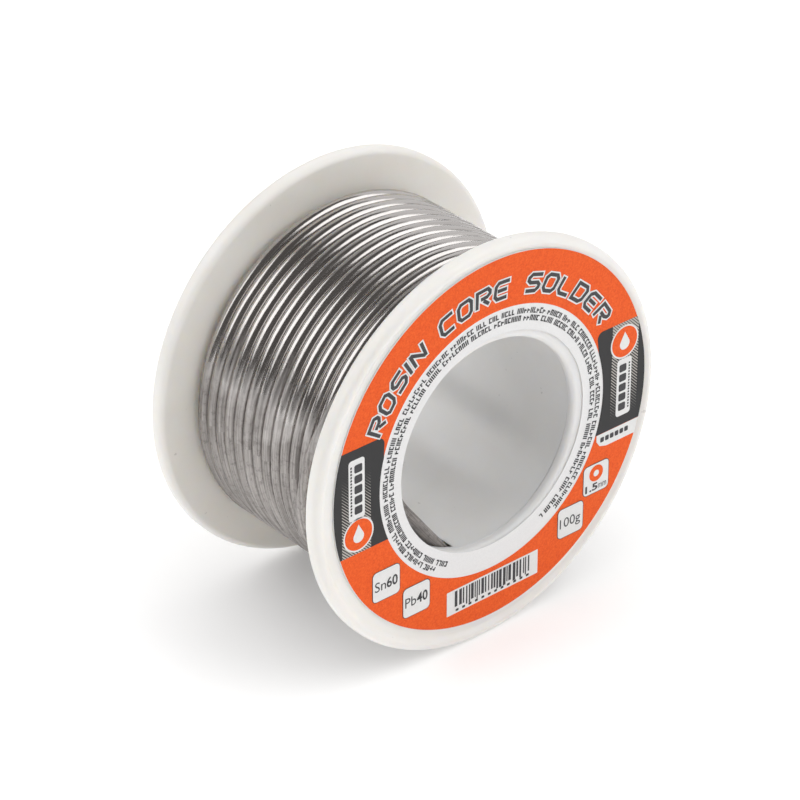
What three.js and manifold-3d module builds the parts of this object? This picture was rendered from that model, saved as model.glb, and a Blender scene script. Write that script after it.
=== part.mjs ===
// Solder wire spool: a small plastic spool lying on its rims, full of 1.5 mm rosin-core solder wire.
//
// Millimetres, +Z up. The spool's axis is Y and the origin is the middle of its bore. The labelled
// flange faces -Y. Angles around the axis start at +X and turn towards +Z.
//
// The body is three mouldings: a hub tube pressed into two equal flanges. The wire is one length. It
// starts as a short tail inside the bore, passes out through a slot in the hub, fills four layers and
// ends in a short stretch that lies on the last layer. Each layer is a ring here, the two ends are
// tubes round their flux core.

import * as THREE from 'three';
import { mergeVertices } from 'three/addons/utils/BufferGeometryUtils.js';
import Module from 'manifold-3d';

// Driving dimensions
const FLANGE_R = 24;
const SPOOL_WIDTH = 27.8;
const FLANGE_THICKNESS = 2;
const RECESS_R = 22.95;
const RECESS_DEPTH = 0.4;
const RIM_ROUND = 0.55;
const BORE_R = 12.2;
const MOUTH_ROUND = 0.8;
const HUB_R = 13.8;
const SPIGOT_R = 13.4;
const SPIGOT_LENGTH = 0.65;

const WIRE_D = 1.5;
const FLUX_HOLE_R = 0.33;
const FLUX_CORE_R = 0.26;
const LAYERS = 4;
const TURNS_ACROSS = 15;

const LABEL_OUTER_R = 22.07;
const LABEL_INNER_R = 12.9;
const LABEL_THICKNESS = 0.1;
const LABEL_SHIFT = [0.7, 0.28];

const GAP = 0.05;
const LABEL_GAP = 0.02;
const SLOT_CLEARANCE = 0.2;
const RING_SIDES = 48;
const WIRE_SIDES = 8;
const FLUX_SIDES = 6;

// Lengths that follow from them
const HALF_WIDTH = SPOOL_WIDTH / 2;
const INNER_FACE = HALF_WIDTH - FLANGE_THICKNESS;
const WINDING_HALF = INNER_FACE - GAP;
const FIRST_TURN_Y = WIRE_D / 2 - INNER_FACE;

// The wire's inner end as [angle in degrees, radius, y]: from its cut end, along the left of the bore
// and straight into the hub's slot. The last three points lie in the slot and under the first layer.
const START_TAIL = [
  [-178, 11.4, -10.9],
  [-172, 11.4, -10.97],
  [-166, 11.4, -11.03],
  [-160, 11.34, -11.08],
  [-154, 11.17, -11.13],
  [-148, 11.04, -11.15],
  [-143, 11.0, -11.15],
  [-138, 11.04, -11.15],
  [-132, 11.21, -11.15],
  [-126, 11.51, -11.15],
  [-120, 11.96, -11.15],
  [-114.5, 12.5, -11.15],
  [-111, 12.97, -11.15],
  [-107.3, 13.54, -11.15],
  [-103, 14.05, -11.15],
  [-98.6, 14.41, -11.15],
];
const START_TAIL_SOLID_POINTS = 13;

// The wire's outer end, where it has climbed onto the last layer, as [angle, radius, y].
const FREE_END = [
  [146, 20.6, -10.2],
  [152, 20.6, -9.78],
  [158, 20.6, -9.34],
  [164, 20.6, -8.92],
  [170, 20.6, -8.55],
  [176, 20.6, -8.22],
  [182, 20.6, -7.92],
  [188, 20.6, -7.62],
  [193, 20.6, -7.38],
  [195.5, 20.6, -7.26],
];

const WHITE_PLASTIC = new THREE.MeshStandardMaterial({ color: 0xeeeeec, roughness: 0.5, metalness: 0 });
const LABEL_PAPER = new THREE.MeshStandardMaterial({ color: 0xe6622d, roughness: 0.55, metalness: 0 });
const SOLDER = new THREE.MeshStandardMaterial({ color: 0x9c9a98, roughness: 0.28, metalness: 1 });
const FLUX = new THREE.MeshStandardMaterial({ color: 0xc9a24a, roughness: 0.4, metalness: 0 });

const wasm = await Module();
wasm.setup();

function around(angle, radius, y) {
  const turn = THREE.MathUtils.degToRad(angle);
  return new THREE.Vector3(radius * Math.cos(turn), y, radius * Math.sin(turn));
}

function piece(name, geometry, material) {
  const mesh = new THREE.Mesh(geometry, material);
  mesh.name = name;
  return mesh;
}

// A ring round the axis from a profile of [radius, y] points, which runs counter-clockwise. It starts
// half a side from the top, so that one side of the ring is flat at the bottom.
function ring(profile) {
  const closed = [...profile, profile[0]];
  const points = closed.map(([radius, y]) => new THREE.Vector2(radius, y));
  return new THREE.LatheGeometry(points, RING_SIDES, Math.PI / RING_SIDES);
}

function toManifold(geometry) {
  const plain = new THREE.BufferGeometry();
  plain.setAttribute('position', geometry.attributes.position.clone());
  if (geometry.index) {
    plain.setIndex(geometry.index.clone());
  }
  const merged = mergeVertices(plain, 1e-5);
  const vertProperties = new Float32Array(merged.attributes.position.array);
  const triVerts = new Uint32Array(merged.index.array);
  return new wasm.Manifold(new wasm.Mesh({ numProp: 3, vertProperties, triVerts }));
}

function subtract(geometry, cutter) {
  const cut = toManifold(geometry).subtract(toManifold(cutter)).getMesh();
  const result = new THREE.BufferGeometry();
  result.setAttribute('position', new THREE.BufferAttribute(cut.vertProperties, 3));
  result.setIndex(new THREE.BufferAttribute(cut.triVerts, 1));
  result.computeVertexNormals();
  return result;
}

// One flange: a disc with a raised rounded rim, a rounded bore mouth and a seat for the hub's spigot.
function flangeGeometry() {
  const lip = -HALF_WIDTH;
  const face = lip + RECESS_DEPTH;
  const back = lip + FLANGE_THICKNESS;
  const seat = back - SPIGOT_LENGTH - GAP;
  const corner = 1 - Math.SQRT1_2;
  const profile = [
    [BORE_R, face + MOUTH_ROUND],
    [BORE_R + MOUTH_ROUND * corner, face + MOUTH_ROUND * corner],
    [BORE_R + MOUTH_ROUND, face],
    [RECESS_R, face],
    [RECESS_R + 0.12, lip + 0.12],
    [RECESS_R + 0.24, lip],
    [FLANGE_R - RIM_ROUND, lip],
    [FLANGE_R - RIM_ROUND * corner, lip + RIM_ROUND * corner],
    [FLANGE_R, lip + RIM_ROUND],
    [FLANGE_R, back - RIM_ROUND],
    [FLANGE_R - RIM_ROUND * corner, back - RIM_ROUND * corner],
    [FLANGE_R - RIM_ROUND, back],
    [SPIGOT_R + GAP, back],
    [SPIGOT_R + GAP, seat],
    [BORE_R, seat],
  ];
  return ring(profile);
}

function frontFlange() {
  return piece('front_flange', flangeGeometry(), WHITE_PLASTIC);
}

function rearFlange() {
  const mesh = piece('rear_flange', flangeGeometry(), WHITE_PLASTIC);
  mesh.rotation.z = Math.PI;
  return mesh;
}

// A prism that follows the wire through the hub's wall, a little wider than the wire.
function slotCutter() {
  const curve = new THREE.CatmullRomCurve3(START_TAIL.map((point) => around(...point)));
  const reach = WIRE_D / 2 + SLOT_CLEARANCE;
  const left = [];
  const right = [];
  for (let step = 0; step <= 10; step += 1) {
    const along = 0.56 + (0.44 * step) / 10;
    const at = curve.getPointAt(along);
    const tangent = curve.getTangentAt(along);
    left.push(new THREE.Vector2(at.x - tangent.z * reach, at.z + tangent.x * reach));
    right.push(new THREE.Vector2(at.x + tangent.z * reach, at.z - tangent.x * reach));
  }
  const outline = new THREE.Shape([...right, ...left.reverse()]);
  const depth = WIRE_D + 2 * SLOT_CLEARANCE;
  const cutter = new THREE.ExtrudeGeometry(outline, { depth, bevelEnabled: false });
  cutter.rotateX(Math.PI / 2);
  cutter.translate(0, FIRST_TURN_Y + depth / 2, 0);
  return cutter;
}

// The hub: a tube with a thinner spigot at each end and the slot that the wire starts through.
function hubTube() {
  const shoulder = INNER_FACE - GAP;
  const end = INNER_FACE + SPIGOT_LENGTH;
  const tube = ring([
    [BORE_R, -end],
    [SPIGOT_R, -end],
    [SPIGOT_R, -shoulder],
    [HUB_R, -shoulder],
    [HUB_R, shoulder],
    [SPIGOT_R, shoulder],
    [SPIGOT_R, end],
    [BORE_R, end],
  ]);
  return piece('hub_tube', subtract(tube, slotCutter()), WHITE_PLASTIC);
}

// The printed paper label, stuck in the front flange's recess a little off centre.
function frontLabel() {
  const back = -HALF_WIDTH + RECESS_DEPTH - LABEL_GAP;
  const front = back - LABEL_THICKNESS;
  const paper = ring([
    [LABEL_INNER_R, front],
    [LABEL_OUTER_R, front],
    [LABEL_OUTER_R, back],
    [LABEL_INNER_R, back],
  ]);
  const mesh = piece('front_label', paper, LABEL_PAPER);
  mesh.position.set(LABEL_SHIFT[0], 0, LABEL_SHIFT[1]);
  return mesh;
}

// One layer of turns as a ring; the last one shows the grooves between its turns.
function windingLayer(number) {
  const inner = HUB_R + WIRE_D * (number - 1) + GAP / 2;
  const outer = HUB_R + WIRE_D * number - GAP / 2;
  const profile = [
    [inner, WINDING_HALF],
    [inner, -WINDING_HALF],
  ];
  if (number < LAYERS) {
    profile.push([outer, -WINDING_HALF], [outer, WINDING_HALF]);
  } else {
    const pitch = (2 * WINDING_HALF) / TURNS_ACROSS;
    const groove = outer - WIRE_D / 3;
    profile.push([groove, -WINDING_HALF]);
    for (let turn = 0; turn < TURNS_ACROSS; turn += 1) {
      const start = -WINDING_HALF + turn * pitch;
      profile.push([outer, start + pitch / 2], [groove, start + pitch]);
    }
  }
  return piece(`winding_layer_${number}`, ring(profile), SOLDER);
}

function polygon(radius, sides) {
  const corners = [];
  for (let side = 0; side < sides; side += 1) {
    const turn = (2 * Math.PI * side) / sides;
    corners.push(new THREE.Vector2(radius * Math.cos(turn), radius * Math.sin(turn)));
  }
  return corners;
}

// A free stretch of wire along a route: the alloy as a tube, and the flux that fills it.
function wireEnd(name, route) {
  const extrudePath = new THREE.CatmullRomCurve3(route.map((point) => around(...point)));
  const options = { steps: route.length - 1, extrudePath };
  const section = new THREE.Shape(polygon(WIRE_D / 2, WIRE_SIDES));
  section.holes.push(new THREE.Path(polygon(FLUX_HOLE_R, FLUX_SIDES)));
  const alloy = piece(name, new THREE.ExtrudeGeometry(section, options), SOLDER);
  const core = new THREE.Shape(polygon(FLUX_CORE_R, FLUX_SIDES));
  const flux = piece(`${name}_flux_core`, new THREE.ExtrudeGeometry(core, options), FLUX);
  return [alloy, flux];
}

const spool = new THREE.Group();
spool.add(frontFlange());
spool.add(hubTube());
spool.add(rearFlange());
spool.add(frontLabel());
for (let number = 1; number <= LAYERS; number += 1) {
  spool.add(windingLayer(number));
}
spool.add(...wireEnd('wire_start_tail', START_TAIL.slice(0, START_TAIL_SOLID_POINTS)));
spool.add(...wireEnd('wire_free_end', FREE_END));

export default spool;
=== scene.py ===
"""Solder wire spool: a small plastic spool lying on its rims, full of rosin-core solder wire.

The row frame has +Y along the bore, from the labelled flange to the plain one, and +Z up. Shapes are
worked out in millimetres and made in metres. Angles around the axis start at +X and turn towards +Z.
"""

import math
import random

import bmesh
import bpy
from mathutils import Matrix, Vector
from mathutils.noise import noise as value_noise


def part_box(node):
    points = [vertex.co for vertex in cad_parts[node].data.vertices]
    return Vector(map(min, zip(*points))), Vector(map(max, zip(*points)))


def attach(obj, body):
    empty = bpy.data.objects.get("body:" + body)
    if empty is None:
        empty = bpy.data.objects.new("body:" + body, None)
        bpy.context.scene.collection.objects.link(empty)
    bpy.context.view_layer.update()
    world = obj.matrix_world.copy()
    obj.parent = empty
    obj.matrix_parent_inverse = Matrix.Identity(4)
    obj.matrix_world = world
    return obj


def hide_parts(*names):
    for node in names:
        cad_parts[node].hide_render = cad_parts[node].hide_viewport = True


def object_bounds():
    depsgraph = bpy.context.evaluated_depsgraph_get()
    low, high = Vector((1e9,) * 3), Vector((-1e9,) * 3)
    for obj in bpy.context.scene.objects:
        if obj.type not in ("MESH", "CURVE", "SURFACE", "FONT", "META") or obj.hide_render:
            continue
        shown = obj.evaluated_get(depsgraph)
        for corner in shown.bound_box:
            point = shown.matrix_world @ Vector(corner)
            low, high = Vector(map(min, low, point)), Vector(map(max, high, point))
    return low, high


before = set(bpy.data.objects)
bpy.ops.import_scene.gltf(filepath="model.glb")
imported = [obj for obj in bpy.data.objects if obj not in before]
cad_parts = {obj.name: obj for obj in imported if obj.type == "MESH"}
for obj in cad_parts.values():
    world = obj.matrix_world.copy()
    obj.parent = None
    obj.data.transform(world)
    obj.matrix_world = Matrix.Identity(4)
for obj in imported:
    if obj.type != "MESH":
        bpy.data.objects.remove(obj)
cad_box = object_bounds()

MM = 0.001

# ---------------------------------------------------------------- sizes, from the CAD frame
REAR_LO, REAR_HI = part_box("rear_flange")
HALF_WIDTH = REAR_HI[1] / MM
INNER_FACE = REAR_LO[1] / MM
FLANGE_R = 24.0
FLANGE_T = HALF_WIDTH - INNER_FACE
BORE_R = 12.4
HUB_R = 13.8
SPIGOT_R = 13.4
SPIGOT_LENGTH = 0.65
CLEARANCE = 0.05
RECESS_DEPTH = 0.4
RECESS_R = 22.45

WIRE_D = 1.5
WIRE_R = WIRE_D / 2
FLUX_R = 0.33
TURNS_ACROSS = 15
TURN_PITCH = 1.54
# The y of the first turn of each layer. The layers run there and back between the flanges.
LAYER_STARTS = (-11.15, 11.1, -11.1, 10.55)
# The winding starts at this angle. Every turn lies square to the axis, but for one stretch, given in
# parts of a turn from that angle, where it steps over to its next place.
WINDING_START = -94.6
TOTAL_TURNS = 58.54
STEP_START = 0.07
STEP_SPAN = 0.22
# The climb to the next layer is quicker than the step across, so the turns stay clear.
CLIMB_SPEED = 2.2
# The outer turns, from this one on, are not perfectly even: how far and how often they stray.
LAST_LAYER_TURN = 46
UNEVENNESS = 0.11
UNEVEN_RATE = 5.3
# The parts of a turn between two points of the wire, in the inner layers and in the last one.
COARSE_STEP = 1 / 36
FINE_STEP = 1 / 90
# The cut ends: the depth of the hole for the flux, and the width of the worn edge.
CUT_HOLE = 0.35
CUT_EDGE = 0.045

LABEL_CENTRE = (0.7, 0.28)
LABEL_OUTER_R = 22.07
LABEL_INNER_R = 12.9
ORANGE_INNER_R = 15.88
LABEL_STAND = 0.12
LABEL_THICKNESS = 0.1
LABEL_FACE_Y = -HALF_WIDTH + RECESS_DEPTH - LABEL_STAND
# Each ink lies a step above the one below it, and strokes that overlap lie a hair apart.
INK_STEP = 0.014
INK_HAIR = 0.0015
INK_STACK = 7

# The label's title: each word with the angle of its left end, and the pen capitals' sizes.
TITLE_WORDS = (("ROSIN", 156.3), ("CORE", 115.6), ("SOLDER", 77.0))
TITLE_STROKE = 0.42
TITLE_LETTER = (1.74, 1.84)
TITLE_SPACE = 0.8
TITLE_SLANT = 0.16
TITLE_EDGE = 0.17
TITLE_BASELINE = 17.1

# The small print: its height, and the width of its strokes along the ring.
PRINT_HEIGHT = 0.64
PRINT_STROKE = 0.128

# The white boxes with a specification: the dark square, the white one on it, and the lettering.
SPEC_EDGE = 3.86
SPEC_FACE = 3.7
SPEC_WIDTH = 3.05
SPEC_BOLD = 0.035

# The hatch on the label's dark panels.
HATCH_LINES = 17.0
HATCH_CONTRAST = 0.3
HATCH_FADE = 0.045
HATCH_LEVEL = 0.3
HATCH_MIDDLE = 19.0
HATCH_HALF_WIDTH = 1.95

# The stage: half the floor's side and its gap under the spool in mm, the lights' distance in metres.
FLOOR_REACH = 1500
FLOOR_GAP = 0.05
SOFTBOX_DISTANCE = 0.8

# The wire's inner end as [angle in degrees, radius, y]: along the left of the bore, through the hub's
# slot and out under the first turn. The slot is cut along its last knots.
START_TAIL = [
    [-178, 11.4, -10.9],
    [-172, 11.4, -10.97],
    [-166, 11.4, -11.03],
    [-160, 11.34, -11.08],
    [-154, 11.17, -11.13],
    [-148, 11.04, -11.15],
    [-143, 11.0, -11.15],
    [-138, 11.04, -11.15],
    [-132, 11.21, -11.15],
    [-126, 11.51, -11.15],
    [-120, 11.96, -11.15],
    [-114.5, 12.5, -11.15],
    [-111, 12.97, -11.15],
    [-107.3, 13.54, -11.15],
    [-103, 14.05, -11.15],
    [-98.6, 14.41, -11.15],
]

SLOT_FIRST_KNOT = 8

# The wire's outer end: it climbs out of the last layer, crosses the turn beside it and is cut off.
FREE_END = [
    [106, 19.08, -11.12],
    [112, 19.2, -11.1],
    [118, 19.42, -11.05],
    [124, 19.75, -10.98],
    [130, 20.1, -10.87],
    [136, 20.4, -10.7],
    [141, 20.55, -10.48],
    [146, 20.6, -10.2],
    [152, 20.6, -9.78],
    [158, 20.6, -9.34],
    [164, 20.6, -8.92],
    [170, 20.6, -8.55],
    [176, 20.6, -8.22],
    [182, 20.6, -7.92],
    [188, 20.6, -7.62],
    [193, 20.6, -7.38],
    [195.5, 20.6, -7.26],
]


def add_to_scene(name, data):
    """A new object in the scene, from a mesh, curve, camera or light."""
    obj = bpy.data.objects.new(name, data)
    bpy.context.scene.collection.objects.link(obj)
    return obj


# ---------------------------------------------------------------- camera
def make_camera():
    """The view from the front left and above, framed as a long-lens product shot."""
    azimuth = math.radians(-40.71)
    elevation = math.radians(31.44)
    distance = 394.4 * MM
    target = Vector((-0.53, 0.13, -0.40)) * MM
    back = Vector(
        (
            math.sin(azimuth) * math.cos(elevation),
            -math.cos(azimuth) * math.cos(elevation),
            math.sin(elevation),
        )
    )
    data = bpy.data.cameras.new("camera")
    data.sensor_width = 36
    data.lens = 164.3
    data.clip_start = 0.01
    data.clip_end = 20
    camera = add_to_scene("camera", data)
    camera.location = target + back * distance
    camera.rotation_mode = "QUATERNION"
    camera.rotation_quaternion = (-back).to_track_quat("-Z", "Y")
    bpy.context.scene.camera = camera


# ---------------------------------------------------------------- mesh helpers
def around(angle, radius, y):
    """A point in mm, by its angle in degrees round the axis, its radius and its y."""
    turn = math.radians(angle)
    return Vector((radius * math.cos(turn), y, radius * math.sin(turn)))


def smoothstep(value):
    """From 0 to 1 as value does, starting and ending gently."""
    value = min(max(value, 0.0), 1.0)
    return value * value * (3 - 2 * value)


def mesh_piece(name, points_mm, faces, material, sharp_angle=None):
    """A mesh object from points in mm. With a sharp angle it is shaded smooth below that angle."""
    mesh = bpy.data.meshes.new(name)
    mesh.from_pydata([tuple(p * MM for p in point) for point in points_mm], [], faces)
    mesh.update()
    if sharp_angle is not None:
        mesh.polygons.foreach_set("use_smooth", [True] * len(mesh.polygons))
        mesh.set_sharp_from_angle(angle=math.radians(sharp_angle))
    mesh.materials.append(material)
    return add_to_scene(name, mesh)


def arc(centre, radius, start, end, steps):
    """Points of an arc in the (radius, y) plane, angles in degrees."""
    points = []
    for step in range(steps + 1):
        turn = math.radians(start + (end - start) * step / steps)
        points.append((centre[0] + radius * math.cos(turn), centre[1] + radius * math.sin(turn)))
    return points


def quads_between(rings, count, joined=False):
    """Quads between closed rings of count points each. If joined, the last ring meets the first."""
    faces = []
    for ring in range(rings if joined else rings - 1):
        here = ring * count
        there = (ring + 1) % rings * count
        for index in range(count):
            following = (index + 1) % count
            faces.append((here + index, here + following, there + following, there + index))
    return faces


def lathe(name, profile, material, sides=256, sharp_angle=40):
    """A closed ring round the Y axis. The profile's (radius, y) points run counter-clockwise."""
    points = []
    for side in range(sides):
        angle = 360 * side / sides
        points.extend(around(angle, radius, y) for radius, y in profile)
    faces = quads_between(sides, len(profile), joined=True)
    return mesh_piece(name, points, faces, material, sharp_angle)


def smooth_route(knots, per_span):
    """A Catmull-Rom curve through knots, without its last point."""
    points = []
    for index in range(len(knots) - 1):
        before = knots[max(index - 1, 0)]
        start = knots[index]
        end = knots[index + 1]
        after = knots[min(index + 2, len(knots) - 1)]
        for step in range(per_span):
            t = step / per_span
            a = 2 * start
            b = (end - before) * t
            c = (2 * before - 5 * start + 4 * end - after) * t * t
            d = (3 * start - before - 3 * end + after) * t * t * t
            points.append((a + b + c + d) / 2)
    return points


# ---------------------------------------------------------------- material helpers
def new_material(name):
    material = bpy.data.materials.new(name)
    material.use_nodes = True
    nodes = material.node_tree.nodes
    links = material.node_tree.links
    return material, nodes, links, nodes["Principled BSDF"]


def object_coordinates(nodes, links):
    """Object coordinates in mm."""
    coordinates = nodes.new("ShaderNodeTexCoord")
    scale = nodes.new("ShaderNodeVectorMath")
    scale.operation = "SCALE"
    scale.inputs["Scale"].default_value = 1 / MM
    links.new(coordinates.outputs["Object"], scale.inputs[0])
    return scale.outputs["Vector"]


def noise(nodes, links, vector, scale, detail=3.0, roughness=0.5):
    node = nodes.new("ShaderNodeTexNoise")
    node.inputs["Scale"].default_value = scale
    node.inputs["Detail"].default_value = detail
    node.inputs["Roughness"].default_value = roughness
    links.new(vector, node.inputs["Vector"])
    return node.outputs["Fac"]


def ramp(nodes, links, value, stops):
    """A colour ramp; stops are (position, grey or RGB)."""
    node = nodes.new("ShaderNodeValToRGB")
    elements = node.color_ramp.elements
    while len(elements) < len(stops):
        elements.new(0.5)
    for element, (position, colour) in zip(elements, stops):
        if isinstance(colour, (int, float)):
            colour = (colour, colour, colour)
        element.position = position
        element.color = (*colour, 1)
    links.new(value, node.inputs["Fac"])
    return node.outputs["Color"]


def math_node(nodes, links, operation, first, second=None):
    node = nodes.new("ShaderNodeMath")
    node.operation = operation
    for socket, value in zip(node.inputs, (first, second)):
        if value is None:
            continue
        if isinstance(value, (int, float)):
            socket.default_value = value
        else:
            links.new(value, socket)
    return node.outputs["Value"]


def weighted_sum(nodes, links, *terms):
    """The sum of values, each given with its weight."""
    total = None
    for value, weight in terms:
        term = math_node(nodes, links, "MULTIPLY", value, weight)
        total = term if total is None else math_node(nodes, links, "ADD", total, term)
    return total


def mixed(nodes, links, kind, factor, first, second, blend="MIX"):
    """Two values (kind FLOAT) or two colours (kind RGBA), mixed by a factor."""
    node = nodes.new("ShaderNodeMix")
    node.data_type = kind
    node.blend_type = blend
    if isinstance(factor, float):
        node.inputs["Factor"].default_value = factor
    else:
        links.new(factor, node.inputs["Factor"])
    links.new(first, node.inputs["A"])
    links.new(second, node.inputs["B"])
    return node.outputs["Result"]


def length_of(nodes, links, vector):
    node = nodes.new("ShaderNodeVectorMath")
    node.operation = "LENGTH"
    links.new(vector, node.inputs[0])
    return node.outputs["Value"]


def bump(nodes, links, bsdf, height, distance_mm, strength=1.0):
    node = nodes.new("ShaderNodeBump")
    node.inputs["Distance"].default_value = distance_mm * MM
    node.inputs["Strength"].default_value = strength
    links.new(height, node.inputs["Height"])
    links.new(node.outputs["Normal"], bsdf.inputs["Normal"])


# ---------------------------------------------------------------- materials
def white_plastic(name, dark, light, polish):
    """Milky moulded plastic: soft sheen, a trace of light inside, faint flow marks and specks."""
    material, nodes, links, bsdf = new_material(name)
    place = object_coordinates(nodes, links)
    flow = noise(nodes, links, place, 0.16, 4)
    tone = ramp(nodes, links, flow, [(0.3, dark), (0.7, light)])
    specks = ramp(nodes, links, noise(nodes, links, place, 0.9, 2), [(0.74, 1.0), (0.77, 0.78)])
    marked = mixed(nodes, links, "RGBA", 1.0, tone, specks, "MULTIPLY")
    links.new(marked, bsdf.inputs["Base Color"])
    fine = noise(nodes, links, place, 3.5, 4, 0.6)
    links.new(ramp(nodes, links, fine, [(0.3, 0.36), (0.7, 0.46)]), bsdf.inputs["Roughness"])
    bsdf.inputs["Coat Weight"].default_value = polish
    bsdf.inputs["Coat Roughness"].default_value = 0.28
    bsdf.inputs["Coat IOR"].default_value = 1.7
    bsdf.inputs["Subsurface Weight"].default_value = 0.5
    bsdf.inputs["Subsurface Radius"].default_value = (1.0, 0.85, 0.66)
    bsdf.inputs["Subsurface Scale"].default_value = 0.0022
    bump(nodes, links, bsdf, fine, 0.012, 0.5)
    return material


def label_paper():
    """Coated white paper with a faint tooth."""
    material, nodes, links, bsdf = new_material("label_paper")
    place = object_coordinates(nodes, links)
    tooth = noise(nodes, links, place, 6, 3, 0.6)
    links.new(ramp(nodes, links, tooth, [(0.3, 0.82), (0.7, 0.87)]), bsdf.inputs["Base Color"])
    bsdf.inputs["Roughness"].default_value = 0.48
    bump(nodes, links, bsdf, tooth, 0.01, 0.5)
    return material


def orange_ink():
    """Printed orange with the mottle of a coarse screen."""
    material, nodes, links, bsdf = new_material("orange_ink")
    place = object_coordinates(nodes, links)
    grain = noise(nodes, links, place, 4.2, 4, 0.75)
    stops = [(0.32, (0.78, 0.075, 0.002)), (0.5, (0.9, 0.105, 0.004)), (0.7, (0.96, 0.15, 0.015))]
    links.new(ramp(nodes, links, grain, stops), bsdf.inputs["Base Color"])
    bsdf.inputs["Roughness"].default_value = 0.55
    bsdf.inputs["Specular IOR Level"].default_value = 0.25
    bump(nodes, links, bsdf, grain, 0.008, 0.4)
    return material


def plain_ink(name, dark, light):
    """Flat ink that lets a little paper through."""
    material, nodes, links, bsdf = new_material(name)
    place = object_coordinates(nodes, links)
    grain = noise(nodes, links, place, 5, 3, 0.7)
    links.new(ramp(nodes, links, grain, [(0.3, dark), (0.75, light)]), bsdf.inputs["Base Color"])
    bsdf.inputs["Roughness"].default_value = 0.5
    return material


def panel_ink():
    """Dark grey with a diagonal hatch round each emblem that fades out along its strip."""
    material, nodes, links, bsdf = new_material("panel_ink")
    place = object_coordinates(nodes, links)
    axes = nodes.new("ShaderNodeSeparateXYZ")
    links.new(place, axes.inputs["Vector"])
    across = math_node(nodes, links, "ADD", axes.outputs["X"], axes.outputs["Z"])
    phase = math_node(nodes, links, "MULTIPLY", across, HATCH_LINES)
    hatch = math_node(nodes, links, "SINE", phase)
    side = math_node(nodes, links, "SIGN", axes.outputs["X"])
    along = math_node(nodes, links, "MULTIPLY", axes.outputs["Z"], side)
    level = weighted_sum(nodes, links, (hatch, HATCH_CONTRAST), (along, HATCH_FADE))
    level = math_node(nodes, links, "ADD", level, HATCH_LEVEL)
    centred = math_node(nodes, links, "SUBTRACT", axes.outputs["X"], LABEL_CENTRE[0])
    from_centre = math_node(nodes, links, "ABSOLUTE", centred)
    from_middle = math_node(nodes, links, "SUBTRACT", from_centre, HATCH_MIDDLE)
    off_middle = math_node(nodes, links, "ABSOLUTE", from_middle)
    inside = math_node(nodes, links, "LESS_THAN", off_middle, HATCH_HALF_WIDTH)
    level = math_node(nodes, links, "MULTIPLY", level, inside)
    stops = [(0.0, (0.019, 0.019, 0.02)), (0.42, (0.024, 0.024, 0.025)), (0.56, (0.5, 0.48, 0.44))]
    links.new(ramp(nodes, links, level, stops), bsdf.inputs["Base Color"])
    bsdf.inputs["Roughness"].default_value = 0.5
    bsdf.inputs["Specular IOR Level"].default_value = 0.35
    return material


def draw_lines(nodes, links, axes, in_bore, radius):
    """Noise drawn out along the wire: round the axis on the turns, straight on the tail in the bore."""
    turn = math_node(nodes, links, "ARCTAN2", axes["Z"], axes["X"])
    chord = weighted_sum(nodes, links, (axes["X"], 0.8), (axes["Z"], 0.6))
    level = mixed(nodes, links, "FLOAT", in_bore, radius, chord)
    stretched = nodes.new("ShaderNodeCombineXYZ")
    along = weighted_sum(nodes, links, (turn, 2.2), (axes["Y"], 1.9))
    links.new(along, stretched.inputs["X"])
    links.new(math_node(nodes, links, "MULTIPLY", axes["Y"], 4.5), stretched.inputs["Y"])
    links.new(math_node(nodes, links, "MULTIPLY", level, 4.5), stretched.inputs["Z"])
    return noise(nodes, links, stretched.outputs["Vector"], 1.0, 5, 0.65)


def solder_metal():
    """Drawn tin-lead wire: bright with fine draw lines, dull and grey where scuffed; its darker lower
    left is painted shade.
    """
    material, nodes, links, bsdf = new_material("solder_metal")
    place = object_coordinates(nodes, links)
    separate = nodes.new("ShaderNodeSeparateXYZ")
    links.new(place, separate.inputs["Vector"])
    axes = separate.outputs
    flat = nodes.new("ShaderNodeCombineXYZ")
    links.new(axes["X"], flat.inputs["X"])
    links.new(axes["Z"], flat.inputs["Y"])
    radius = length_of(nodes, links, flat.outputs["Vector"])
    in_bore = math_node(nodes, links, "LESS_THAN", radius, HUB_R)
    draw = draw_lines(nodes, links, axes, in_bore, radius)

    # The wear is patchy and stronger on the tail; its rise towards the lower left is painted shade, where
    # the turns are darker and duller.
    patches = noise(nodes, links, place, 0.22, 4, 0.6)
    wear_and_shade = weighted_sum(
        nodes, links, (axes["X"], -0.02), (axes["Z"], -0.035), (patches, 0.8), (in_bore, 0.1)
    )
    scuff_and_shade = ramp(nodes, links, wear_and_shade, [(0.35, 0.0), (0.72, 1.0)])
    bright = ramp(nodes, links, draw, [(0.25, (0.5, 0.478, 0.464)), (0.75, (0.63, 0.608, 0.594))])
    # The dull tone is partly real scuffing and partly painted shade on the lower left.
    dull_and_shaded = ramp(nodes, links, draw, [(0.32, (0.2, 0.186, 0.176)), (0.68, (0.55, 0.52, 0.502))])
    smudges = ramp(nodes, links, noise(nodes, links, place, 1.7, 5, 0.7), [(0.5, 1.0), (0.68, 0.68)])
    smudged_and_shaded = mixed(nodes, links, "RGBA", 1.0, dull_and_shaded, smudges, "MULTIPLY")
    tone = mixed(nodes, links, "RGBA", scuff_and_shade, bright, smudged_and_shaded)
    links.new(tone, bsdf.inputs["Base Color"])
    rough = weighted_sum(nodes, links, (scuff_and_shade, 0.36), (draw, 0.36), (in_bore, 0.25))
    links.new(rough, bsdf.inputs["Roughness"])
    bsdf.inputs["Metallic"].default_value = 1.0
    bump(nodes, links, bsdf, draw, 0.03, 0.1)
    return material


def rosin():
    """The amber flux that fills the wire's core."""
    material, nodes, links, bsdf = new_material("rosin")
    place = object_coordinates(nodes, links)
    cloud = noise(nodes, links, place, 4, 3)
    stops = [(0.3, (0.5, 0.27, 0.06)), (0.7, (0.72, 0.45, 0.13))]
    links.new(ramp(nodes, links, cloud, stops), bsdf.inputs["Base Color"])
    bsdf.inputs["Roughness"].default_value = 0.3
    return material


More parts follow.
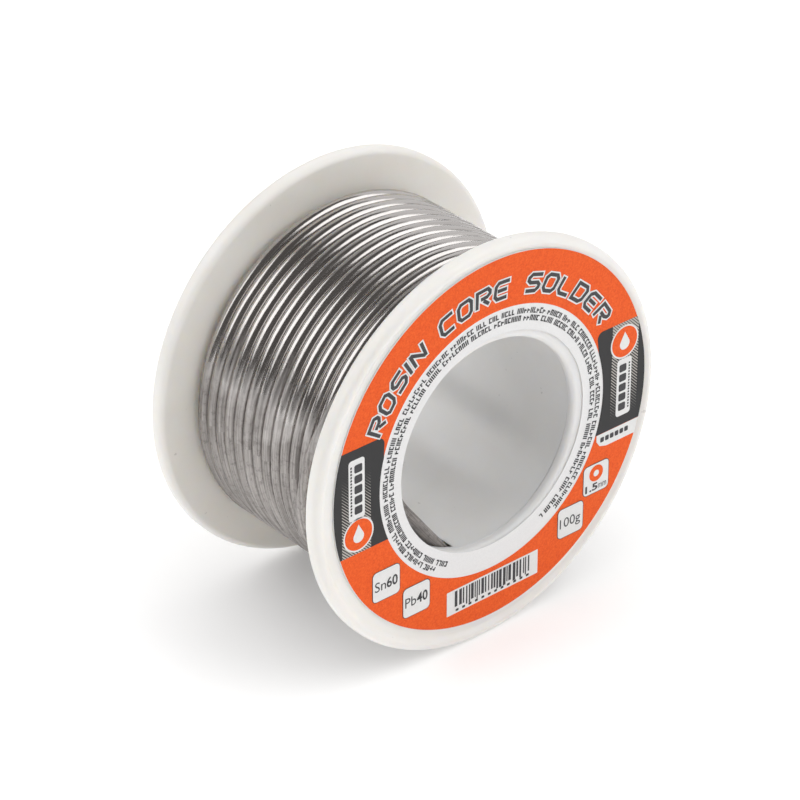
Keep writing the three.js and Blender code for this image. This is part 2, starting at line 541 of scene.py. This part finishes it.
# ---------------------------------------------------------------- the wire
def turn_places():
    """The y of every turn in mm, layer by layer."""
    places = []
    for layer, start in enumerate(LAYER_STARTS):
        pitch = -TURN_PITCH if layer % 2 else TURN_PITCH
        places += [start + pitch * turn for turn in range(TURNS_ACROSS)]
    return places


def winding_point(turns, places):
    """A point of the coiled wire, a number of turns from where the winding starts."""
    index = int(turns)
    step = (turns - index - STEP_START) / STEP_SPAN
    y = places[index] + (places[index + 1] - places[index]) * smoothstep(step)
    radius = HUB_R + WIRE_R + WIRE_D * (index // TURNS_ACROSS)
    if (index + 1) % TURNS_ACROSS == 0:
        radius += WIRE_D * smoothstep(step * CLIMB_SPEED)
    if index >= LAST_LAYER_TURN:
        radius += UNEVENNESS * abs(value_noise(Vector((turns * UNEVEN_RATE, 0.5, 0.5))))
    return around(WINDING_START + 360 * turns, radius, y)


def wire_path():
    """The whole wire in mm: the tail, the layers with a finer step on the last one, the free end."""
    places = turn_places()
    # The finer step starts a little before the last layer does.
    finer_from = TOTAL_TURNS - TURNS_ACROSS - 1
    winding = []
    turns = 0.0
    while turns < TOTAL_TURNS:
        winding.append(winding_point(turns, places))
        turns += COARSE_STEP if turns < finer_from else FINE_STEP
    tail = [around(*knot) for knot in START_TAIL]
    end = [around(*knot) for knot in FREE_END]
    route = smooth_route([*tail, winding[0]], 3)
    route += winding
    # The first two points of the last stretch are on the winding or too close to it.
    route += smooth_route([winding[-1], *end], 4)[2:]
    route.append(end[-1])
    return route


def wire_ring(path, index, sides, size, shift=0.0):
    """A ring of points across the wire at a point of its path, moved along the wire by shift."""
    last = len(path) - 1
    tangent = (path[min(index + 1, last)] - path[max(index - 1, 0)]).normalized()
    outward = Vector((path[index].x, 0, path[index].z))
    outward = (outward - tangent * outward.dot(tangent)).normalized()
    sideways = tangent.cross(outward)
    centre = path[index] + tangent * shift
    ring = []
    for side in range(sides):
        turn = 2 * math.pi * side / sides
        ring.append(centre + outward * (size * math.cos(turn)) + sideways * (size * math.sin(turn)))
    return ring


def tube(name, path, radius, sides, material):
    """A round wire along path, cut square at both ends with a hole for its flux."""
    cut = [(radius * 0.4, CUT_HOLE), (radius * 0.44, 0.0), (radius * 0.94, 0.0), (radius, CUT_EDGE)]
    last = len(path) - 1
    points = []
    for size, depth in cut:
        points += wire_ring(path, 0, sides, size, depth)
    for index in range(1, last):
        points += wire_ring(path, index, sides, radius)
    for size, depth in reversed(cut):
        points += wire_ring(path, last, sides, size, -depth)
    rings = len(points) // sides
    faces = quads_between(rings, sides)
    faces.append(tuple(reversed(range(sides))))
    faces.append(tuple(range((rings - 1) * sides, rings * sides)))
    return mesh_piece(name, points, faces, material, sharp_angle=50)


def flux_plug(name, end, inward, material):
    """The flux in one cut end of the wire, just below its face."""
    side = inward.orthogonal().normalized()
    other = inward.cross(side)
    sides = 16
    points = []
    for depth, share in ((0.3, 0.88), (0.05, 0.9), (0.03, 0.7)):
        for step in range(sides):
            turn = 2 * math.pi * step / sides
            across = side * math.cos(turn) + other * math.sin(turn)
            points.append(end + inward * depth + across * (FLUX_R * share))
    faces = [tuple(range(sides)), tuple(reversed(range(2 * sides, 3 * sides)))]
    for ring in range(2):
        for step in range(sides):
            following = (step + 1) % sides
            here = ring * sides
            there = here + sides
            faces.append((here + following, here + step, there + step, there + following))
    return mesh_piece(name, points, faces, material, sharp_angle=40)


def make_wire(metal, flux):
    """The wire as one cord, and the flux in its two cut ends. They replace all the winding's solids."""
    path = wire_path()
    wire = tube("solder_wire", path, WIRE_R, 14, metal)
    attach(wire, "root")
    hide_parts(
        "winding_layer_1",
        "winding_layer_2",
        "winding_layer_3",
        "winding_layer_4",
        "wire_start_tail",
        "wire_free_end",
    )
    start_flux = flux_plug("flux_at_start", path[0], (path[1] - path[0]).normalized(), flux)
    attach(start_flux, "root")
    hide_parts("wire_start_tail_flux_core")
    end_flux = flux_plug("flux_at_free_end", path[-1], (path[-2] - path[-1]).normalized(), flux)
    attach(end_flux, "root")
    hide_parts("wire_free_end_flux_core")


# ---------------------------------------------------------------- the plastic body
def flange_profile():
    """The front flange's section, counter-clockwise from the bore: the outer face is at -HALF_WIDTH."""
    lip = -HALF_WIDTH
    face = lip + RECESS_DEPTH
    back = lip + FLANGE_T
    seat = back - SPIGOT_LENGTH - CLEARANCE
    mouth = 0.5
    rim = 0.75
    lip_steps = 8
    profile = []
    profile += arc((BORE_R + mouth, face + mouth), mouth, 180, 270, 8)
    for step in range(lip_steps + 1):
        share = step / lip_steps
        radius = RECESS_R + (FLANGE_R - rim - RECESS_R) * share
        profile.append((radius, face + (lip - face) * smoothstep(share)))
    profile += arc((FLANGE_R - rim, lip + rim), rim, 270, 360, 8)[1:]
    profile += arc((FLANGE_R - rim, back - rim), rim, 0, 90, 8)
    socket = SPIGOT_R + CLEARANCE
    profile += [(socket, back), (socket, seat), (BORE_R, seat)]
    return profile


def make_flanges(plastic):
    """Two flanges of one shape, face to face. The front one carries the label."""
    front_profile = flange_profile()
    front = lathe("front_flange_moulding", front_profile, plastic)
    rear_profile = [(radius, -y) for radius, y in reversed(front_profile)]
    rear = lathe("rear_flange_moulding", rear_profile, plastic)
    for piece, node in ((front, "front_flange"), (rear, "rear_flange")):
        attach(piece, "root")
        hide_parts(node)


def slot_cutter():
    """A prism that follows the wire through the hub's wall."""
    knots = [around(*knot) for knot in START_TAIL[SLOT_FIRST_KNOT:]]
    reach = WIRE_R + 0.2
    left = []
    right = []
    for index, knot in enumerate(knots):
        ahead = knots[min(index + 1, len(knots) - 1)] - knots[max(index - 1, 0)]
        side = Vector((-ahead.z, 0, ahead.x)).normalized() * reach
        left.append(knot + side)
        right.append(knot - side)
    outline = right + list(reversed(left))
    points = [point + Vector((0, reach, 0)) for point in outline]
    points += [point - Vector((0, reach, 0)) for point in outline]
    count = len(outline)
    faces = [tuple(range(count)), tuple(reversed(range(count, 2 * count)))]
    for index in range(count):
        following = (index + 1) % count
        faces.append((index, count + index, count + following, following))
    mesh = bpy.data.meshes.new("slot_cutter")
    mesh.from_pydata([tuple(point * MM) for point in points], [], faces)
    work = bmesh.new()
    work.from_mesh(mesh)
    bmesh.ops.recalc_face_normals(work, faces=work.faces)
    work.to_mesh(mesh)
    work.free()
    return add_to_scene("slot_cutter", mesh)


def make_hub(plastic):
    """The tube between the flanges, with a spigot at each end and the slot for the wire."""
    chamfer = 0.05
    shoulder = INNER_FACE - CLEARANCE
    end = INNER_FACE + SPIGOT_LENGTH
    profile = [
        (BORE_R, -end + chamfer),
        (BORE_R + chamfer, -end),
        (SPIGOT_R, -end),
        (SPIGOT_R, -shoulder),
        (HUB_R, -shoulder),
        (HUB_R, shoulder),
        (SPIGOT_R, shoulder),
        (SPIGOT_R, end),
        (BORE_R + chamfer, end),
        (BORE_R, end - chamfer),
    ]
    hub = lathe("hub_tube_moulding", profile, plastic)
    cutter = slot_cutter()
    cut = hub.modifiers.new("slot", "BOOLEAN")
    cut.operation = "DIFFERENCE"
    cut.solver = "EXACT"
    cut.object = cutter
    graph = bpy.context.evaluated_depsgraph_get()
    mesh = bpy.data.meshes.new_from_object(hub.evaluated_get(graph))
    hub.modifiers.clear()
    hub.data = mesh
    bpy.data.objects.remove(cutter)
    mesh.set_sharp_from_angle(angle=math.radians(40))
    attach(hub, "root")
    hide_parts("hub_tube")


# ---------------------------------------------------------------- the label
def on_label(x, z, ink):
    """A point on the label's face, from its centre; each ink lies a little proud of the one below."""
    return Vector((LABEL_CENTRE[0] + x, LABEL_FACE_Y - ink * INK_STEP, LABEL_CENTRE[1] + z))


def print_piece(name, outlines, ink, material, stacked=False):
    """Flat printed areas, each an outline of (x, z) points in order round it.

    Strokes that overlap are stacked: each lies a hair above the one before it, in a repeating stack.
    """
    points = []
    faces = []
    for index, outline in enumerate(outlines):
        lift = index % INK_STACK * INK_HAIR / INK_STEP if stacked else 0
        area = sum(a[0] * b[1] - b[0] * a[1] for a, b in zip(outline, outline[1:] + outline[:1]))
        ordered = outline if area > 0 else list(reversed(outline))
        first = len(points)
        points += [on_label(x, z, ink + lift) for x, z in ordered]
        faces.append(tuple(range(first, first + len(ordered))))
    piece = mesh_piece(name, points, faces, material)
    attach(piece, "root")


def polar(angle, radius):
    """A point (x, z) from the label's centre."""
    turn = math.radians(angle)
    return radius * math.cos(turn), radius * math.sin(turn)


def band(inner, outer, start, end, steps):
    """A stretch of ring as quads."""
    quads = []
    for step in range(steps):
        a = start + (end - start) * step / steps
        b = start + (end - start) * (step + 1) / steps
        quads.append([polar(a, inner), polar(a, outer), polar(b, outer), polar(b, inner)])
    return quads


def rounded_box(centre, width, height, corner):
    """A rounded rectangle's outline."""
    points = []
    for sign_x, sign_z, start in ((1, 1, 0), (-1, 1, 90), (-1, -1, 180), (1, -1, 270)):
        x = centre[0] + sign_x * (width / 2 - corner)
        z = centre[1] + sign_z * (height / 2 - corner)
        points += arc((x, z), corner, start, start + 90, 5)
    return points


def disc(centre, radius, sides=48):
    """A disc's outline."""
    rim = [polar(360 * side / sides, radius) for side in range(sides)]
    return [(centre[0] + x, centre[1] + z) for x, z in rim]


def text_outlines(words, size, width, fatten=0.0):
    """The built-in typeface's letters as polygons in mm, squeezed to a width, from x = 0."""
    curve = bpy.data.curves.new("words", "FONT")
    curve.body = words
    curve.size = size
    curve.offset = fatten
    curve.resolution_u = 3
    holder = add_to_scene("words", curve)
    graph = bpy.context.evaluated_depsgraph_get()
    mesh = bpy.data.meshes.new_from_object(holder.evaluated_get(graph))
    left = min(vertex.co.x for vertex in mesh.vertices)
    right = max(vertex.co.x for vertex in mesh.vertices)
    squeeze = width / (right - left)
    polygons = []
    for polygon in mesh.polygons:
        corners = [mesh.vertices[index].co for index in polygon.vertices]
        polygons.append([((corner.x - left) * squeeze, corner.y) for corner in corners])
    bpy.data.objects.remove(holder)
    bpy.data.curves.remove(curve)
    bpy.data.meshes.remove(mesh)
    return polygons


def stroke_quads(line, width, grow):
    """A pen line with mitred corners as quads. Open ends run on by grow."""
    points = [Vector(point) for point in line]
    closed = line[0] == line[-1]
    if not closed:
        points[0] += (points[0] - points[1]).normalized() * grow
        points[-1] += (points[-1] - points[-2]).normalized() * grow
    sides = []
    last = len(points) - 1
    for index, point in enumerate(points):
        before = points[index - 1] if index else points[last - 1 if closed else 0]
        after = points[index + 1] if index < last else points[1 if closed else last]
        arriving = (point - before).normalized() if before != point else (after - point).normalized()
        leaving = (after - point).normalized() if after != point else arriving
        normal = Vector((-arriving.y - leaving.y, arriving.x + leaving.x)).normalized()
        reach = width / 2 / normal.dot(Vector((-arriving.y, arriving.x)))
        sides.append((point + normal * reach, point - normal * reach))
    quads = []
    for (left_a, right_a), (left_b, right_b) in zip(sides, sides[1:]):
        quads.append([tuple(left_a), tuple(right_a), tuple(right_b), tuple(left_b)])
    return quads


def pen_letters():
    """Square technical capitals as pen lines, on a cell one wide and one high."""
    cut = 0.2
    low_bar = 0.5 - cut * 0.7
    high_bar = 0.5 + cut * 0.7
    top_left = [(cut, 1), (0, 1 - cut)]
    bottom_left = [(0, cut), (cut, 0)]
    return {
        "C": [[(1, 1), *top_left, *bottom_left, (1, 0)]],
        "D": [[(0, 0), (1 - cut, 0), (1, cut), (1, 1 - cut), (1 - cut, 1), (0, 1), (0, 0)]],
        "E": [[(1, 1), *top_left, *bottom_left, (1, 0)], [(0.16, 0.5), (0.9, 0.5)]],
        "I": [[(0, 0), (0, 1)]],
        "L": [[(0, 1), *bottom_left, (1, 0)]],
        "N": [[(0, 0), (0, 1)], [(0.05, 0.94), (0.95, 0.06)], [(1, 0), (1, 1)]],
        "O": [[(1, cut), (1, 1 - cut), (1 - cut, 1), *top_left, *bottom_left, (1 - cut, 0), (1, cut)]],
        "R": [
            [(0, 0), (0, 1), (1 - cut, 1), (1, 1 - cut), (1, high_bar), (1 - cut, 0.5), (0.3, 0.5)],
            [(0.52, 0.36), (1, 0)],
        ],
        "S": [
            [(0, 0), (1 - cut, 0), (1, cut), (1, low_bar), (1 - cut, 0.5)]
            + [(cut, 0.5), (0, high_bar), (0, 1 - cut), (cut, 1), (1, 1)]
        ],
    }


def pen_word(word, width, grow=0.0):
    """A word in slanted pen capitals from x = 0, as quads in mm."""
    shapes = pen_letters()
    quads = []
    x = TITLE_STROKE / 2
    for letter in word:
        for line in shapes[letter]:
            across = [x + px * TITLE_LETTER[0] + py * TITLE_SLANT * TITLE_LETTER[1] for px, py in line]
            up = [TITLE_STROKE / 2 + py * TITLE_LETTER[1] for px, py in line]
            quads += stroke_quads(list(zip(across, up)), width, grow)
        x += (0 if letter == "I" else TITLE_LETTER[0]) + TITLE_SPACE
    return quads


def bent(polygons, start_angle, baseline):
    """Flat lettering bent clockwise round the ring from an angle, its feet towards the bore."""
    middle = baseline + 1
    result = []
    for polygon in polygons:
        result.append([polar(start_angle - math.degrees(x / middle), baseline + y) for x, y in polygon])
    return result


def placed(polygons, corner):
    """Polygons moved so that their origin is at a corner."""
    return [[(corner[0] + x, corner[1] + y) for x, y in polygon] for polygon in polygons]


def side_panel(side, top, bottom):
    """A dark panel: a level band of the orange ring with one rounded inner corner."""
    outer = LABEL_OUTER_R - 0.02
    inner = ORANGE_INNER_R - 0.02
    corner = 0.8
    corner_inset = 0.9
    corner_drop = 2.6
    steps = 14
    outline = []
    for step in range(steps + 1):
        z = bottom + (top - bottom) * step / steps
        outline.append((math.sqrt(outer * outer - z * z), z))
    edge = math.sqrt(inner * inner - top * top) + corner_inset
    outline += arc((edge + corner, top - corner), corner, 90, 180, 6)
    for step in range(steps + 1):
        z = (top - corner_drop) + (bottom - top + corner_drop) * step / steps
        outline.append((math.sqrt(inner * inner - z * z), z))
    return [(side * x, z) for x, z in outline]


def small_print_marks(radius, start, end, seed):
    """A line of marks that spell nothing: upright strokes and bars, set out like words round the ring."""
    rng = random.Random(seed)
    quads = []
    angle = start
    step = math.degrees(PRINT_STROKE / radius)

    def stroke(at, low, high, width):
        end_at = at - width * step
        foot = radius + PRINT_HEIGHT * low
        head = radius + PRINT_HEIGHT * high
        quads.append([polar(at, foot), polar(at, head), polar(end_at, head), polar(end_at, foot)])

    while angle > end:
        for _ in range(rng.randint(3, 9)):
            shape = rng.randint(0, 4)
            stroke(angle, 0, 1 if shape < 4 else 0.75, 1.2)
            if shape in (0, 1):
                stroke(angle - 1.8 * step, 0, 1 if shape == 0 else 0.75, 1.2)
            if shape in (1, 2):
                stroke(angle, 0.76, 1.0, 3.0)
            if shape in (2, 3):
                stroke(angle, 0.0, 0.24, 3.0)
            if shape == 4:
                stroke(angle, 0.36, 0.62, 2.8)
            angle -= 3.7 * step
            if angle <= end:
                break
        angle -= 2.4 * step
    return quads


def block_column(middle, length, count, width, gap, corner):
    """Rounded blocks one above the other, with gaps between them."""
    pitch = length / count
    low = middle[1] - pitch * (count - 1) / 2
    blocks = []
    for index in range(count):
        blocks.append(rounded_box((middle[0], low + pitch * index), width, pitch - gap, corner))
    return blocks


def label_emblem(side, disc_at, strip_at, strip_height, inks):
    """A plain emblem for a panel: a white strip with two columns of blocks, and a disc with a drop."""
    name = "left" if side < 0 else "right"
    strip = rounded_box(strip_at, 2.15, strip_height, 0.4)
    print_piece(f"label_strip_{name}", [strip], 3, inks["white"])
    wide_at = (strip_at[0] - side * 0.22, strip_at[1])
    narrow_at = (strip_at[0] + side * 0.74, strip_at[1])
    blocks = block_column(wide_at, strip_height - 1.1, 5, width=1.05, gap=0.28, corner=0.2)
    blocks += block_column(narrow_at, strip_height - 1.3, 16, width=0.22, gap=0.13, corner=0.04)
    print_piece(f"label_strip_blocks_{name}", blocks, 4, inks["dark"])
    print_piece(f"label_disc_edge_{name}", [disc(disc_at, 2.05)], 3, inks["white"])
    print_piece(f"label_disc_{name}", [disc(disc_at, 1.85)], 4, inks["orange"])
    drop = arc((disc_at[0], disc_at[1] - 0.25), 0.72, -200, 20, 16)
    drop.append((disc_at[0], disc_at[1] + 1.25))
    print_piece(f"label_drop_{name}", [drop], 5, inks["white"])


def spec_box(name, centre, words, inks, ring=False):
    """A white rounded square with a thin dark edge and a plain specification.

    Each word is given with how much it is emboldened. A ring leaves the words a smaller place below it.
    """
    edge = rounded_box(centre, SPEC_EDGE, SPEC_EDGE, 0.6)
    face = rounded_box(centre, SPEC_FACE, SPEC_FACE, 0.53)
    print_piece(f"label_box_edge_{name}", [edge], 3, inks["dark"])
    print_piece(f"label_box_{name}", [face], 4, inks["white"])
    size = 1.25 if ring else 1.75
    low = centre[1] - (1.5 if ring else 0.6)
    left = centre[0] - 1.58
    letters = sum(len(word) for word, boldness in words)
    outlines = []
    for word, boldness in words:
        width = SPEC_WIDTH * len(word) / letters
        outlines += placed(text_outlines(word, size, width, boldness), (left, low))
        left += width + 0.1
    print_piece(f"label_box_words_{name}", outlines, 5, inks["dark"])
    if ring:
        ring_at = (centre[0], centre[1] + 0.62)
        print_piece(f"label_box_mark_{name}", [disc(ring_at, 1.02)], 5, inks["orange"])
        print_piece(f"label_box_mark_core_{name}", [disc(ring_at, 0.4, 24)], 6, inks["white"])


def bar_code(inks):
    """A white patch with random bars, and dashes in place of digits."""
    patch = rounded_box((0.12, -18.05), 13.2, 3.1, 0.08)
    print_piece("label_code_patch", [patch], 3, inks["white"])
    rng = random.Random(11)
    top = -16.72
    foot = -18.75
    long_foot = -19.05
    last_left = 5.6
    x = -5.35
    bars = []
    while x < last_left:
        width = rng.choice((0.17, 0.2, 0.26, 0.38))
        low = long_foot if rng.random() < 0.12 else foot
        bars.append([(x, low), (x + width, low), (x + width, top), (x, top)])
        x += width + rng.choice((0.12, 0.14, 0.2, 0.26))
    print_piece("label_code_bars", bars, 4, inks["dark"])
    dashes = []
    for index in range(12):
        dashes.append(rounded_box((-5.0 + index * 0.93, -19.22), 0.42, 0.3, 0.08))
    print_piece("label_code_marks", dashes, 4, inks["dark"])


def make_paper(paper_material):
    """The label's paper ring, a little off the bore's centre, as it was stuck on."""
    back = LABEL_FACE_Y + LABEL_THICKNESS
    outer = LABEL_OUTER_R
    inner = LABEL_INNER_R
    profile = [(inner, LABEL_FACE_Y), (outer, LABEL_FACE_Y), (outer, back), (inner, back)]
    paper = lathe("label_paper_ring", profile, paper_material, sharp_angle=30)
    for vertex in paper.data.vertices:
        vertex.co.x += LABEL_CENTRE[0] * MM
        vertex.co.z += LABEL_CENTRE[1] * MM
    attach(paper, "root")
    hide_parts("front_label")


def label_tab(inks):
    """The white tab under the right panel, with a row of blocks."""
    tab = [(15.1, -5.42), (21.3, -5.42), (20.8, -7.2), (16.6, -7.2), (15.6, -6.9), (15.1, -6.2)]
    print_piece("label_tab", [tab], 3, inks["white"])
    blocks = [rounded_box((15.95 + 0.72 * n, -6.2), 0.55, 0.62, 0.14) for n in range(6)]
    print_piece("label_tab_blocks", blocks, 4, inks["dark"])


def label_title(inks):
    """The title's words in dark pen capitals, each stroke with a white edge."""
    for word, start in TITLE_WORDS:
        wide_word = pen_word(word, TITLE_STROKE + 2 * TITLE_EDGE, TITLE_EDGE)
        edge = bent(wide_word, start, TITLE_BASELINE)
        letters = bent(pen_word(word, TITLE_STROKE), start, TITLE_BASELINE)
        print_piece(f"label_title_edge_{word.lower()}", edge, 3, inks["white"], stacked=True)
        print_piece(f"label_title_{word.lower()}", letters, 4, inks["dark"], stacked=True)


def make_label(paper_material):
    """The paper ring and everything printed on it. All the words are generic."""
    inks = {
        "orange": orange_ink(),
        "dark": plain_ink("dark_ink", (0.018, 0.018, 0.022), (0.042, 0.042, 0.046)),
        "white": plain_ink("white_ink", (0.8, 0.8, 0.79), (0.86, 0.86, 0.86)),
        "panel": panel_ink(),
    }
    make_paper(paper_material)
    orange = band(ORANGE_INNER_R, LABEL_OUTER_R - 0.06, 0, 360, 256)
    print_piece("label_orange_band", orange, 1, inks["orange"])
    print_piece("label_panel_left", [side_panel(-1, 6.9, -5.9)], 2, inks["panel"])
    print_piece("label_panel_right", [side_panel(1, 7.6, -5.4)], 2, inks["panel"])
    label_emblem(-1, (-18.75, -3.6), (-18.95, 2.0), 7.4, inks)
    label_emblem(1, (18.85, 5.1), (18.95, -0.6), 7.2, inks)
    label_tab(inks)
    label_title(inks)
    marks = small_print_marks(14.78, 237, -53, seed=3)
    marks += small_print_marks(13.93, 243, -60, seed=4)
    print_piece("label_small_print", marks, 1, inks["dark"], stacked=True)
    spec_box("tin", (-15.0, -11.35), [("Sn", 0.0), ("60", SPEC_BOLD)], inks)
    spec_box("lead", (-10.8, -15.2), [("Pb", 0.0), ("40", SPEC_BOLD)], inks)
    spec_box("weight", (11.5, -14.75), [("100g", 0.0)], inks)
    spec_box("size", (15.2, -10.8), [("1.5", SPEC_BOLD), ("mm", 0.0)], inks, ring=True)
    bar_code(inks)


# ---------------------------------------------------------------- floor and light
def studio_white_painted_shadow():
    """White that glows more with the distance from the spool; the dimmer glow near it is a painted shadow
    round the spool.
    """
    material, nodes, links, bsdf = new_material("studio_white_painted_shadow")
    bsdf.inputs["Base Color"].default_value = (0.88, 0.88, 0.88, 1)
    bsdf.inputs["Roughness"].default_value = 0.9
    bsdf.inputs["Specular IOR Level"].default_value = 0.1
    bsdf.inputs["Emission Color"].default_value = (1, 1, 1, 1)
    place = object_coordinates(nodes, links)
    flat = nodes.new("ShaderNodeVectorMath")
    flat.operation = "MULTIPLY"
    flat.inputs[1].default_value = (0.01, 0.01, 0)
    links.new(place, flat.inputs[0])
    # The distance is in units of 100 mm.
    distance = length_of(nodes, links, flat.outputs["Vector"])
    # The glow is least within 12 mm of the spool's middle and full from 40 mm: a painted shadow round the
    # spool.
    glow_with_painted_shadow = ramp(nodes, links, distance, [(0.12, 0.2), (0.4, 0.45)])
    links.new(glow_with_painted_shadow, bsdf.inputs["Emission Strength"])
    return material


def make_floor(material):
    """A studio sheet just under the spool."""
    height = cad_box[0][2] / MM - FLOOR_GAP
    corners = ((-1, -1), (1, -1), (1, 1), (-1, 1))
    points = [Vector((x * FLOOR_REACH, y * FLOOR_REACH, height)) for x, y in corners]
    floor = mesh_piece("floor", points, [(0, 1, 2, 3)], material)


def softbox(name, azimuth, elevation, width, height, energy, reflected=True, shining=True):
    """A soft light aimed at the spool. The azimuth runs from +Y towards +X; sizes are in metres.

    One that isn't reflected lights surfaces, but gloss doesn't show it. One that isn't shining is seen
    in gloss only.
    """
    turn = math.radians(azimuth)
    rise = math.radians(elevation)
    direction = Vector(
        (math.sin(turn) * math.cos(rise), math.cos(turn) * math.cos(rise), math.sin(rise))
    )
    data = bpy.data.lights.new(name, "AREA")
    data.shape = "RECTANGLE"
    data.size = width
    data.size_y = height
    data.energy = energy
    light = add_to_scene(name, data)
    light.visible_glossy = reflected
    light.visible_diffuse = shining
    light.location = direction * SOFTBOX_DISTANCE
    light.rotation_mode = "QUATERNION"
    light.rotation_quaternion = (-direction).to_track_quat("-Z", "Y")


def make_light():
    """A softbox behind on the left, a front fill and a ceiling that gloss doesn't show, a dim studio.

    On the right are a softbox, a wall and a wing that only gloss shows, for the wire's shine.
    """
    world = bpy.data.worlds.new("studio")
    world.use_nodes = True
    background = world.node_tree.nodes["Background"]
    background.inputs["Color"].default_value = (1, 0.94, 0.91, 1)
    background.inputs["Strength"].default_value = 0.118
    bpy.context.scene.world = world
    softbox("left_softbox", -50, 38, 0.78, 0.62, 2.6)
    softbox("right_softbox", 138, 36, 0.62, 0.8, 2.75, shining=False)
    softbox("front_fill", 138, 42, 0.8, 0.7, 2.55, reflected=False)
    softbox("right_wall", 70, 27, 1.2, 0.65, 1.8, shining=False)
    softbox("right_wing", 22, 42, 0.46, 0.6, 0.26, shining=False)
    softbox("ceiling", 150, 84, 1.4, 1.4, 5.8, reflected=False)


# ---------------------------------------------------------------- build
make_camera()
make_wire(solder_metal(), rosin())
make_flanges(white_plastic("flange_plastic", (0.88, 0.858, 0.82), (0.915, 0.898, 0.868), 0.0))
# The hub is the flanges' white plastic; its greyer base colour is painted shade for the inside of the
# bore.
make_hub(white_plastic("hub_plastic_painted_shade", (0.74, 0.732, 0.718), (0.78, 0.776, 0.768), 1.0))
make_label(label_paper())
make_floor(studio_white_painted_shadow())
make_light()
bpy.context.scene.view_settings.view_transform = "Standard"
